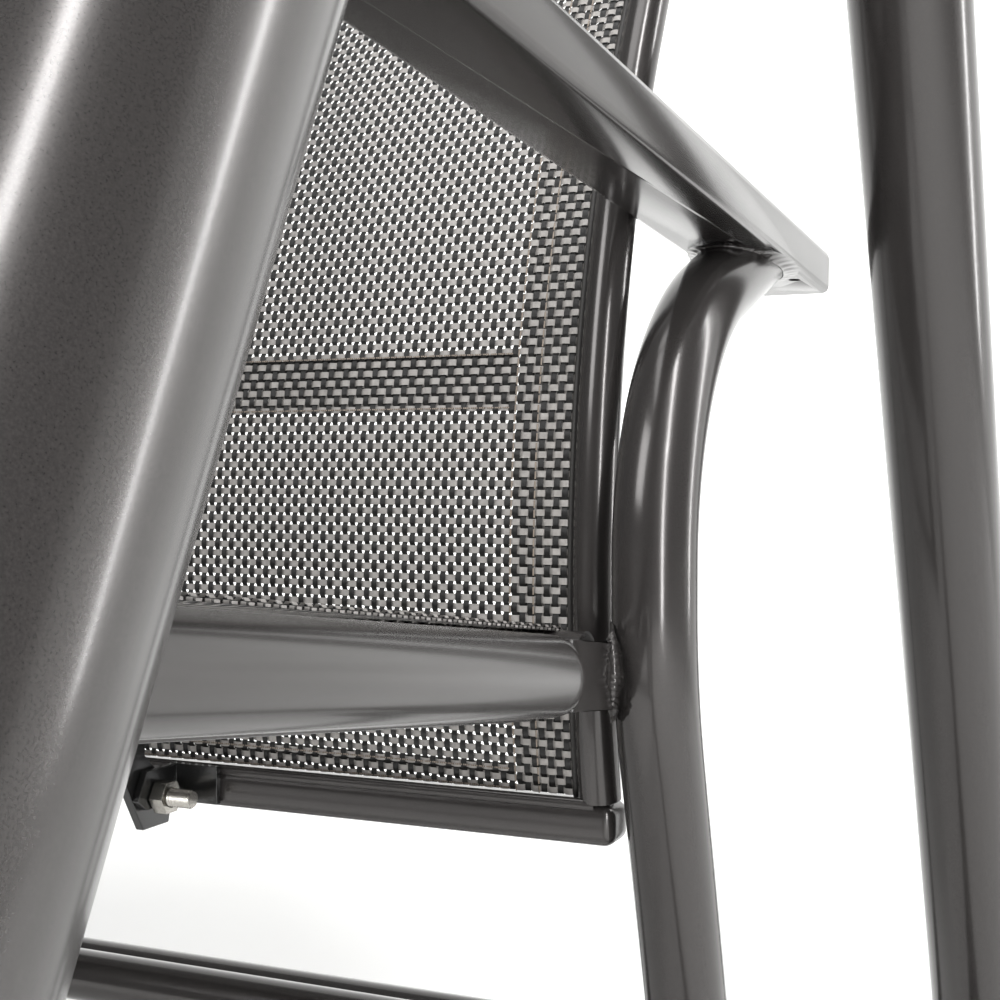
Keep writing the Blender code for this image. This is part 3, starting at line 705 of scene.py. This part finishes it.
    def stretcher(self, side: Side, x: float) -> None:
        """Build the stretcher with its pressed ends, shaped into the posts, and the weld at its
        rear end.
        """
        x -= side.value * self.stretcher_inset
        first, last = self.front_place + 0.020, self.post_front - 0.006
        press = [self.press_reach * i / 28 for i in range(29)]
        places = [first + p for p in press] + [last - p for p in reversed(press)]
        line = [Vector((x, y, self.stretcher_height(y))) for y in places]
        shape = sweep(line, self.stretcher_radius, 64)
        inner, outer = self.press_walls
        for vert in shape.verts:
            rear = (self.press_reach - (last - vert.co.y)) / (self.press_reach
                                                              - self.press_length)
            front = 1 - (vert.co.y - first) / self.front_press
            rest = min(1.0, max(0.0, rear, front))
            crease = rest * rest * (3 - 2 * rest)
            away = (vert.co.x - x) * side.value
            flat = min(outer, max(inner, away))
            vert.co.x = x + side.value * (away + (flat - away) * crease)
            vert.co.z -= crease * 0.09 * (vert.co.z - self.stretcher_height(vert.co.y))
        coated(f"stretcher_tube_{side.word}", shape, self.body, (f"seat_stretcher_{side.word}",),
               60)
        self.stretcher_weld(side, x)

    def stretcher_weld(self, side: Side, x: float) -> None:
        """The weld round the stretcher's pressed rear end, running onto the post."""
        post_x = side.value * self.side_plane
        tall = self.stretcher_radius * 0.90
        inner, outer = self.press_walls
        middle, wide = (inner + outer) / 2, (outer - inner) / 2
        middle_z = self.stretcher_height(self.post_front - self.post_radius)
        forward = Vector((0, -1, sin(radians(self.stretcher_slope))))
        ring = []
        for a in np.linspace(0, 2 * pi, 96, endpoint=False):
            off = x + side.value * (middle + wide * cos(a)) - post_x
            off = max(-0.975 * self.post_radius, min(0.975 * self.post_radius, off))
            deep = (self.post_radius ** 2 - off ** 2) ** 0.5
            normal = Vector((off, -deep, 0)) / self.post_radius
            out = Vector((side.value * tall * cos(a), 0, wide * sin(a))).normalized()
            along = (out - normal * out.dot(normal)).normalized()
            place = Vector((post_x + off, self.post_front - deep, middle_z + tall * sin(a)))
            ring.append((place, forward, along))
        fillet_weld(f"stretcher_weld_{side.word}", ring, 6.5 * MM, self.body, x * 2)

    def hangers(self, side: Side, x: float) -> None:
        """Build the two hanger bars and the eye on the pivot."""
        pivot = Vector((x, 0, self.pivot_height))
        top_z = self.arm_thickness / cos(radians(self.arm_slope)) + FIT_GAP
        for end, y, stop in self.hanger_ends:
            foot = Vector((x, y, self.arm_underside(y)))
            along = (pivot - foot).normalized()
            foot += along * top_z
            shape = sweep([foot, pivot - along * stop], self.hanger_radius, 36)
            node = f"hanger_{end}_{side.word}"
            if end == "rear":
                self.eye(shape, pivot)
            coated(f"{node}_bar", shape, self.body, (node,), 50)
            reach = self.hanger_radius + FIT_GAP
            ring = round_line(foot + Vector((0, 0, 0.6 * MM)), Vector((reach, 0, 0)),
                              Vector((0, reach, 0)), 33)
            coated(f"{node}_weld", bead(ring, 1.8 * MM, 0.2, y), self.body, sharp=180)

    def eye(self, shape: bmesh.types.BMesh, pivot: Vector) -> None:
        """Add the turned eye, a closed ring of rectangular section about the pivot."""
        half, outer, inner = self.eye_size
        edge = 1.2 * MM
        section = [(half - edge, outer), (half, outer - edge), (half, inner), (-half, inner),
                   (-half, outer - edge), (edge - half, outer)]
        verts = [shape.verts.new(pivot + Vector((along, 0, up))) for along, up in section]
        edges = [shape.edges.new((verts[i], verts[(i + 1) % 6])) for i in range(6)]
        bmesh.ops.spin(shape, geom=verts + edges, cent=pivot, axis=(1, 0, 0), angle=2 * pi,
                       steps=56, use_merge=True)

    def cross_tube(self, node: str) -> None:
        """Build a tube across the bench in a CAD tube's place."""
        low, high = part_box(node)
        middle, radius = (low + high) / 2, (high.z - low.z) / 2
        line = [Vector((low.x, middle.y, middle.z)), Vector((high.x, middle.y, middle.z))]
        coated(f"{node}_tube", sweep(line, radius, 44), self.body, (node,))


# ---- slings ------------------------------------------------------------------------------
@dataclass
class Surface:
    """A taut cylindrical surface across X: a line in the side view with its normals."""

    line: np.ndarray

    def __post_init__(self) -> None:
        """Measure the line and its front-facing normals."""
        steps = np.diff(self.line, axis=0)
        self.places = np.concatenate([[0.0], np.cumsum(np.hypot(steps[:, 0], steps[:, 1]))])
        slope = np.gradient(self.line, self.places, axis=0)
        slope /= np.linalg.norm(slope, axis=1)[:, None]
        self.normals = np.stack([-slope[:, 1], slope[:, 0]], axis=1)

    @property
    def length(self) -> float:
        """Length along the line."""
        return float(self.places[-1])

    def lay(self, points: np.ndarray) -> np.ndarray:
        """Move flat points (x, distance along, height) onto the surface."""
        along = np.clip(points[:, 1], 0, self.length)
        base = [np.interp(along, self.places, self.line[:, i]) for i in (0, 1)]
        lift = [np.interp(along, self.places, self.normals[:, i]) for i in (0, 1)]
        return np.stack([points[:, 0], base[0] + lift[0] * points[:, 2],
                         base[1] + lift[1] * points[:, 2]], axis=1)


@dataclass
class Weave:
    """Plain weave of flat warp and weft bands, with small holes between them."""

    warp_pitch: float = 3.5 * MM
    weft_pitch: float = 3.8 * MM
    warp_width: float = 2.45 * MM
    weft_width: float = 2.60 * MM
    lift: float = 0.42 * MM

    def cell(self) -> bmesh.types.BMesh:
        """Build the repeat: two warp and two weft bands, crossing over and under.

        Returns:
            The bmesh, warp faces with material 1 and weft faces with material 0.
        """
        shape = bmesh.new()
        layer = shape.loops.layers.uv.new("yarn")
        for band in range(2):
            self.band(shape, layer, band, True)
            self.band(shape, layer, band, False)
        return shape

    def band(self, shape: bmesh.types.BMesh, layer: object, band: int, warp: bool) -> None:
        """Extrude one band of the repeat along its own direction.

        Args:
            shape: The bmesh to add to.
            layer: Its UV layer, across the band and along it.
            band: 0 or 1, the band's place in the repeat.
            warp: True for a band up the sling, False for one across it.
        """
        own, other = ((self.warp_pitch, self.weft_pitch) if warp
                      else (self.weft_pitch, self.warp_pitch))
        width = self.warp_width if warp else self.weft_width
        flat = (self.weft_width if warp else self.warp_width) * 0.42
        middle = (band + 0.5) * own
        stops = [(j + 0.5) * other + s * flat for j in range(2) for s in (-1, 1)]
        stops.append(2.5 * other - flat)
        heights = []
        for i in range(5):
            over = (band + i // 2) % 2 == (0 if warp else 1)
            heights.append(self.lift if over else -self.lift)
        ends = []
        for side in (-1, 1):
            where = (middle + side * width / 2, stops[0])
            place = where if warp else (where[1], where[0])
            ends.append(shape.verts.new((*place, heights[0])))
        edge = shape.edges.new(ends)
        for i in range(1, 5):
            geom = bmesh.ops.extrude_edge_only(shape, edges=[edge])["geom"]
            verts = [g for g in geom if isinstance(g, bmesh.types.BMVert)]
            edge = next(g for g in geom if isinstance(g, bmesh.types.BMEdge))
            step = (0, stops[i] - stops[i - 1]) if warp else (stops[i] - stops[i - 1], 0)
            bmesh.ops.translate(shape, verts=verts, vec=(*step, heights[i] - heights[i - 1]))
            for face in (g for g in geom if isinstance(g, bmesh.types.BMFace)):
                face.material_index = 1 if warp else 0
                face.smooth = True
                for loop in face.loops:
                    across = loop.vert.co.x if warp else loop.vert.co.y
                    along = loop.vert.co.y if warp else loop.vert.co.x
                    loop[layer].uv = ((across - middle) / width + 0.5, along / (2 * other))

    def cloth(self, name: str, surface: Surface, left: float, right: float, low: float,
              high: float, depth: float = 0.0, shift: int = 0) -> bpy.types.Object:
        """Repeat the weave over a rectangle of the surface and lay it there.

        Args:
            name: The piece's name.
            surface: The surface to lay it on.
            left: Lowest X.
            right: Highest X.
            low: Start along the line.
            high: End along the line.
            depth: Distance behind the surface, as on the second layer of a hem.
            shift: 1 moves the pattern half a pitch, so that one layer fills the other's holes.

        Returns:
            The cloth, riding on the bench.
        """
        shape = self.cell()
        counts = (max(1, round((right - left) / (2 * self.warp_pitch))),
                  max(1, round((high - low) / (2 * self.weft_pitch))))
        mesh = as_mesh(name, shape)
        mesh.materials.append(PALETTE.get(WEFT_YARN))
        mesh.materials.append(PALETTE.get(WARP_YARN))
        cell = put(name, mesh)
        for axis, count in enumerate(counts):
            run = cell.modifiers.new("Repeat", "ARRAY")
            run.use_relative_offset, run.use_constant_offset = False, True
            run.constant_offset_displace = (0, 0, 0)
            run.constant_offset_displace[axis] = 2 * (self.warp_pitch, self.weft_pitch)[axis]
            run.count = count
        evaluated = cell.evaluated_get(bpy.context.evaluated_depsgraph_get())
        cloth = bpy.data.meshes.new_from_object(evaluated)
        bpy.data.objects.remove(cell)
        flat = np.empty(len(cloth.vertices) * 3, np.float32)
        cloth.vertices.foreach_get("co", flat)
        points = flat.reshape(-1, 3).astype(float)
        scale_x = (right - left) / (counts[0] * 2 * self.warp_pitch)
        scale_y = (high - low) / (counts[1] * 2 * self.weft_pitch)
        points[:, 0] = left + (points[:, 0] + shift * self.warp_pitch / 2) * scale_x
        points[:, 1] = low + (points[:, 1] + shift * self.weft_pitch / 2) * scale_y
        points[:, 0] = np.clip(points[:, 0], left, right)
        points[:, 1] = np.clip(points[:, 1], low, high)
        points[:, 2] -= depth
        cloth.vertices.foreach_set("co", surface.lay(points).astype(np.float32).ravel())
        cloth.update()
        cloth.name = name
        piece = put(name, cloth)
        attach(piece, Body.BENCH.value)
        LOG.info("%s: %d faces", name, len(cloth.polygons))
        return piece


@dataclass
class Sling:
    """A woven sling with doubled hems and rows of stitches."""

    name: str
    surface: Surface
    half_width: float
    strips: int
    bands: list[tuple[float, float]]
    side_hem: float = 25 * MM
    layer_gap: float = 1.1 * MM
    weave: Weave = field(default_factory=Weave)

    def build(self, node: str) -> None:
        """Build the cloth in strips, its hems and its seams.

        Args:
            node: The CAD node that the sling stands for.
        """
        width = 2 * self.half_width / self.strips
        for i in range(self.strips):
            left = -self.half_width + i * width
            cloth = self.weave.cloth(f"{self.name}_cloth_{i + 1}", self.surface, left,
                                     left + width, 0, self.surface.length)
        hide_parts(node)
        hems = self.hems()

    def hems(self) -> list[bpy.types.Object]:
        """Build the second layers and their stitches.

        Returns:
            The second layers and the stitches.
        """
        made = []
        for sign in (-1, 1):
            edges = sorted((sign * self.half_width, sign * (self.half_width - self.side_hem)))
            made.append(self.weave.cloth(f"{self.name}_side_hem_{'left' if sign < 0 else 'right'}",
                                         self.surface, *edges, 0, self.surface.length,
                                         self.layer_gap, 1))
        inner = self.half_width - self.side_hem
        for i, (low, high) in enumerate(self.bands):
            made.append(self.weave.cloth(f"{self.name}_band_{i + 1}", self.surface, -inner, inner,
                                         low, high, self.layer_gap, 1))
        made.append(self.stitches())
        return made

    def stitches(self) -> bpy.types.Object:
        """Sew two rows up each side hem and one along each edge of every band."""
        shape = bmesh.new()
        pitch = self.weave.weft_pitch
        rows = [self.half_width - self.side_hem + d for d in (0.5 * MM, 10.5 * MM)]
        for x in (s * r for r in rows for s in (-1, 1)):
            for i in range(int(self.surface.length / pitch)):
                self.stitch(shape, x, (i + 0.5) * pitch, 0.55 * MM, 3.0 * MM)
        inner = self.half_width - self.side_hem
        pitch = self.weave.warp_pitch
        for low, high in self.bands:
            for s in (low + 1.5 * MM, high - 1.5 * MM):
                for i in range(int(2 * inner / pitch)):
                    self.stitch(shape, -inner + (i + 0.5) * pitch, s, 2.8 * MM, 0.55 * MM)
        layer = shape.loops.layers.uv.new("yarn")
        for face in shape.faces:
            for loop in face.loops:
                loop[layer].uv = (loop.vert.co.x / (2 * MM), loop.vert.co.z / (2 * MM))
        return finish_piece(f"{self.name}_stitches", shape, SEAM_THREAD, Body.BENCH)

    def stitch(self, shape: bmesh.types.BMesh, x: float, s: float, wide: float,
               long: float) -> None:
        """Add one raised stitch: a small block that stands a little off the cloth."""
        verts = bmesh.ops.create_cube(shape, size=1.0)["verts"]
        flat = np.array([(x + v.co.x * wide, s + v.co.y * long, 0.55 * MM + v.co.z * 0.35 * MM)
                         for v in verts])
        for vert, place in zip(verts, self.surface.lay(flat)):
            vert.co = place


@dataclass
class SlingFrames:
    """Rails, lips and bars that hold the slings, and the slings themselves."""

    rail_place: float = 0.590
    rail_radius: float = 0.0085
    rail_slope: float = 7.3
    back_arc: float = 0.500
    back_front: float = 0.1355
    back_waist: float = 0.450
    back_lean: float = 27.0
    back_top: float = 0.945
    top_bar_radius: float = 0.0125
    end_bar_top: float = 0.368
    bar_radius: float = 0.011
    body: Body = Body.BENCH

    def back_line(self, low: float, high: float, count: int = 60) -> np.ndarray:
        """The back's side view, (Y, Z), an arc that passes into a straight upper part."""
        arc_top = self.back_waist + self.back_arc * sin(radians(self.back_lean))
        line = []
        for z in np.linspace(low, high, count):
            lean = (min(z, arc_top) - self.back_waist) / self.back_arc
            y = self.back_front + self.back_arc * (1 - (1 - lean ** 2) ** 0.5)
            line.append((y + max(0.0, z - arc_top) * tan(radians(self.back_lean)), z))
        return np.array(line)

    def seat_line(self) -> np.ndarray:
        """The seat's side view: round the front bar, straight back, and round the rear bar."""
        centres = []
        for node in ("seat_front_bar", "seat_rear_bar"):
            low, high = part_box(node)
            centres.append(((low.y + high.y) / 2, (low.z + high.z) / 2))
        radius = self.bar_radius + 1.2 * MM
        tilt = atan((centres[1][1] - centres[0][1]) / (centres[1][0] - centres[0][0]))
        line = []
        for a in np.linspace(radians(215), pi / 2 + tilt, 16):
            line.append((centres[0][0] + radius * cos(a), centres[0][1] + radius * sin(a)))
        for a in np.linspace(pi / 2 + tilt, radians(-35), 16):
            line.append((centres[1][0] + radius * cos(a), centres[1][1] + radius * sin(a)))
        return np.array(line)

    def build(self) -> None:
        """Build the rails, the end bar, the clamp bolts and both slings."""
        for side in Side:
            self.rails(side)
            self.clamp_bolt(side)
        self.end_bar()
        top = self.back_top - self.top_bar_radius * cos(radians(self.back_lean)) - 2 * MM
        back = Surface(self.back_line(self.end_bar_top + 1 * MM, top))
        Sling("back_sling", back, self.rail_place - self.rail_radius - 2.6 * MM, 3,
              [(0.0, 11 * MM), (0.153, 0.178), (back.length - 25 * MM, back.length)]
              ).build("back_sling")
        seat = Surface(self.seat_line())
        Sling("seat_sling", seat, self.rail_place - 3 * MM, 2,
              [(0.0, 30 * MM), (seat.length - 30 * MM, seat.length)]).build("seat_sling")

    def rails(self, side: Side) -> None:
        """Build a back rail with its lip and spline, and a seat rail."""
        x = side.value * self.rail_place
        low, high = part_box(f"back_rail_{side.word}")
        line = self.back_line(self.end_bar_top + 1.2 * MM, high.z - 1 * MM, 48)
        points = [Vector((x, y, z)) for y, z in line]
        finish_piece(f"back_rail_tube_{side.word}", sweep(points, self.rail_radius, 40),
                     FRAME_COAT, self.body, (f"back_rail_{side.word}",))
        lip_x = x - side.value * (self.rail_radius + 1.2 * MM)
        lip = sweep([Vector((lip_x, y, z)) for y, z in line], 1.5 * MM, 12)
        finish_piece(f"back_spline_{side.word}", lip, SPLINE_VINYL, self.body)
        low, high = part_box(f"seat_rail_{side.word}")
        radius = self.rail_radius
        slope = radians(self.rail_slope)
        first = Vector((x, low.y, high.z - radius / cos(slope)))
        last = Vector((x, high.y, low.z + radius / cos(slope)))
        coated(f"seat_rail_tube_{side.word}", sweep([first, last], radius, 40), self.body,
               (f"seat_rail_{side.word}",))

    def end_bar(self) -> None:
        """Build the back's end bar: a rounded bar with a rolled lip along its upper front."""
        low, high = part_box("back_end_bar")
        middle, size = (low + high) / 2, high - low
        shape = bmesh.new()
        bmesh.ops.create_cube(shape, size=1.0, matrix=Matrix.Translation(middle)
                              @ Matrix.Diagonal((*size, 1.0)))
        bmesh.ops.bevel(shape, geom=shape.edges[:], offset=5 * MM, offset_type="OFFSET",
                        segments=6, profile=0.5, affect="EDGES", material=-1)
        lip = [Vector((x, low.y + 2.6 * MM, high.z - 0.6 * MM)) for x in (low.x + 8 * MM,
                                                                         high.x - 8 * MM)]
        sweep(lip, 2.6 * MM, 16, shape)
        coated("back_end_bar_finish", shape, self.body, ("back_end_bar",))

    def clamp_bolt(self, side: Side) -> None:
        """Build the bracket's bolt with its rolled thread and six-sided head."""
        low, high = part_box(f"clamp_bolt_{side.word}")
        y, z = (low.y + high.y) / 2, (low.z + high.z) / 2
        head, tip = (low.x, high.x) if side is Side.RIGHT else (high.x, low.x)
        sign = side.value
        radius, pitch, thread = 4 * MM, 1.25 * MM, 0.55 * MM
        head_radius, head_depth = 7.5 * MM, 5 * MM
        shape = sweep([Vector((head + sign * 4 * MM, y, z)), Vector((tip - sign * 0.4 * MM, y, z))],
                      radius - thread, 28)
        for i in range(int((abs(tip - head) - 9 * MM) / pitch)):
            start = tip - sign * (0.9 * MM + i * pitch)
            bmesh.ops.create_cone(
                shape, cap_ends=True, segments=28, radius1=radius, radius2=radius - thread,
                depth=pitch * 0.5, matrix=Matrix.Translation((start, y, z))
                @ Matrix.Rotation(sign * pi / 2, 4, "Y"))
        bmesh.ops.create_cone(shape, cap_ends=True, segments=6, radius1=head_radius,
                              radius2=head_radius, depth=head_depth,
                              matrix=Matrix.Translation((head + sign * head_depth / 2, y, z))
                              @ Matrix.Rotation(pi / 2, 4, "Y"))
        finish_piece(f"clamp_bolt_thread_{side.word}", shape, ZINC, self.body,
                     (f"clamp_bolt_{side.word}",), 35)


# ---- scene -------------------------------------------------------------------------------
@dataclass
class Studio:
    """Camera, soft lights and the pale floor."""

    eye: Point = (0.804, -0.430, 0.500)
    lens: float = 56.16
    turn: float = 24.2
    dip: float = 1.28525
    curve: float = 1.5
    back: float = 5.0
    # Name, place, aim, size and power of each light.
    lights: tuple[tuple, ...] = (
        ("key", (-1.0, -2.4, 2.2), (0.3, 0.1, 0.5), (1.2, 1.6), 46.0),
        ("strip", (2.2, -1.9, 1.1), (0.6, 0.1, 0.5), (0.22, 2.2), 46.0),
        ("high strip", (1.5, -0.9, 2.3), (0.59, 0.3, 0.75), (0.20, 1.6), 30.0),
        ("thin strip", (1.9, 0.9, 1.1), (0.62, 0.1, 0.5), (0.10, 1.8), 14.0),
        ("top", (0.2, -0.4, 3.0), (0.0, 0.0, 0.5), (1.8, 1.8), 40.0))

    def build(self) -> None:
        """Place everything."""
        self.camera()
        self.floor()
        for light in self.lights:
            self.light(*light)
        world = bpy.data.worlds.new("pale studio")
        bpy.context.scene.world = world
        world.use_nodes = True
        world.node_tree.nodes["Background"].inputs["Color"].default_value = (1, 1, 1, 1)
        world.node_tree.nodes["Background"].inputs["Strength"].default_value = 0.24
        bpy.context.scene.view_settings.view_transform = "Standard"

    def camera(self) -> None:
        """A normal lens in front of the bench's right end, at seat height."""
        data = bpy.data.cameras.new("camera")
        data.sensor_width, data.lens, data.clip_start = 36.0, self.lens, 0.01
        eye = put("camera", data)
        turn, dip = radians(self.turn), radians(self.dip)
        aim = Vector((-sin(turn) * cos(dip), cos(turn) * cos(dip), -sin(dip)))
        eye.location = self.eye
        eye.rotation_euler = aim.to_track_quat("-Z", "Y").to_euler()
        bpy.context.scene.camera = eye

    def light(self, name: str, place: Point, aim: Point, size: tuple[float, float],
              watts: float) -> None:
        """Add one rectangular soft light."""
        data = bpy.data.lights.new(name, "AREA")
        data.shape, data.size, data.size_y, data.energy = "RECTANGLE", *size, watts
        lamp = put(name, data)
        lamp.location = place
        lamp.rotation_euler = (Vector(aim) - Vector(place)).to_track_quat("-Z", "Y").to_euler()

    def floor(self) -> None:
        """A pale floor that curves up into a backdrop behind the swing, lit from within."""
        shape = bmesh.new()
        radius, back = self.curve, self.back
        side = [(-30.0, 0.0)] + [(back + radius * sin(a), radius * (1 - cos(a)))
                                 for a in np.linspace(0, pi / 2, 13)] + [(back + radius, 12.0)]
        rows = [[shape.verts.new((x, y, z)) for x in (-18.0, 18.0)] for y, z in side]
        for low, high in zip(rows, rows[1:]):
            shape.faces.new((low[0], low[1], high[1], high[0]))
        mesh = as_mesh("floor", shape)
        mesh.shade_smooth()
        made, tree, shader = start_material("pale matt backdrop paper")
        place = add_node(tree, "ShaderNodeTexCoord").outputs["Object"]
        cloud = add_node(tree, "ShaderNodeTexNoise", None, Vector=place, Scale=3.0)
        colour = blend_colours(tree, cloud.outputs["Fac"], "#F4F4F3", "#FAFAF9")
        tree.links.new(colour, shader.inputs["Base Color"])
        tree.links.new(colour, shader.inputs["Emission Color"])
        along = add_node(tree, "ShaderNodeSeparateXYZ", None, Vector=place).outputs["Y"]
        glow = add_node(tree, "ShaderNodeMapRange", {"interpolation_type": "SMOOTHSTEP"},
                        Value=along, From_Min=0.9, From_Max=2.2, To_Min=0.0, To_Max=0.95)
        tree.links.new(glow.outputs["Result"], shader.inputs["Emission Strength"])
        shader.inputs["Roughness"].default_value = 0.9
        mesh.materials.append(made)
        ground = put("floor", mesh)


def main() -> None:
    """Build the stand, the bench, its slings and the studio in order."""
    logging.basicConfig(level=logging.INFO, format="%(message)s")
    Studio().build()
    Stand().build()
    BenchFrame().build()
    SlingFrames().build()


if __name__ == "__main__":
    main()
